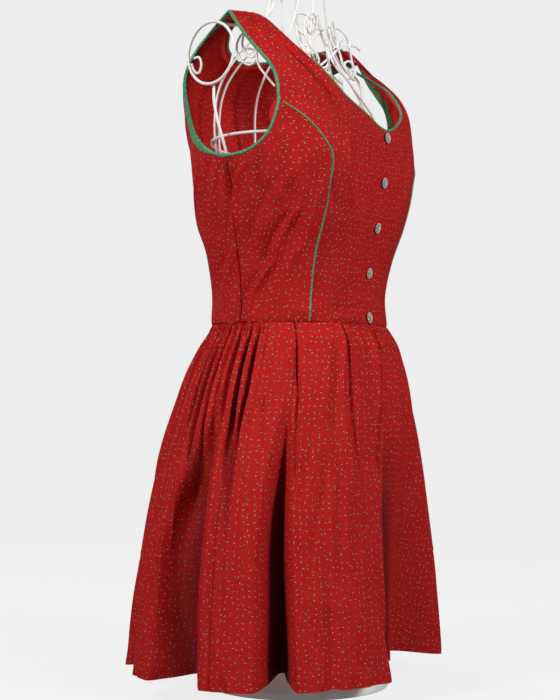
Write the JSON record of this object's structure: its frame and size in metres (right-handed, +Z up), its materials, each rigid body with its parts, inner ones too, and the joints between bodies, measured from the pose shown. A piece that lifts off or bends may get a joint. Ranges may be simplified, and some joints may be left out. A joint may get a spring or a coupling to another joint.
{
  "type": "dirndl on a wire dress form",
  "caption": "Short sleeveless dirndl with a buttoned, piped bodice and a pleated and gathered skirt, worn by a limbless wire dress form on a foot.",
  "frame": {"origin": "centre of the foot's underside, on the surface the form stands on", "axes": "+Z up, the wearer faces -Y, +X is the wearer's left"},
  "size_m": [0.4918, 0.4149, 0.976],
  "materials": {
    "cotton_red": "printed plain-weave cotton, crisp, slight sheen",
    "piping_green": "green bias-cut cotton satin",
    "button_silver": "antique silver, cast filigree, darkened in the hollows",
    "form_white": "white powder-coated steel wire, satin"
  },
  "bodies": {
    "root": {"bodice_front_right": "cotton_red", "bodice_front_left": "cotton_red", "bodice_side_right": "cotton_red", "bodice_side_left": "cotton_red", "bodice_back": "cotton_red", "armhole_binding_right": "piping_green", "armhole_binding_left": "piping_green", "neck_piping": "piping_green", "princess_piping_right": "piping_green", "princess_piping_left": "piping_green", "back_neck_facing": "cotton_red", "button_1": "button_silver", "button_2": "button_silver", "button_3": "button_silver", "button_4": "button_silver", "button_5": "button_silver", "skirt_front": "cotton_red", "skirt_back": "cotton_red", "form_foot": "form_white", "form_pole": "form_white", "form_hoop_1": "form_white", "form_hoop_2": "form_white", "form_spoke_1": "form_white", "form_spoke_2": "form_white", "form_spoke_3": "form_white", "form_spoke_4": "form_white", "form_rib_right_1": "form_white", "form_rib_right_2": "form_white", "form_rib_right_3": "form_white", "form_rib_right_4": "form_white", "form_arm_ring_right": "form_white", "form_side_rib_right": "form_white", "form_shoulder_right": "form_white", "form_scroll_right": "form_white", "form_rib_left_1": "form_white", "form_rib_left_2": "form_white", "form_rib_left_3": "form_white", "form_rib_left_4": "form_white", "form_arm_ring_left": "form_white", "form_side_rib_left": "form_white", "form_shoulder_left": "form_white", "form_scroll_left": "form_white", "form_neck_ring": "form_white"}
  },
  "joints": []
}
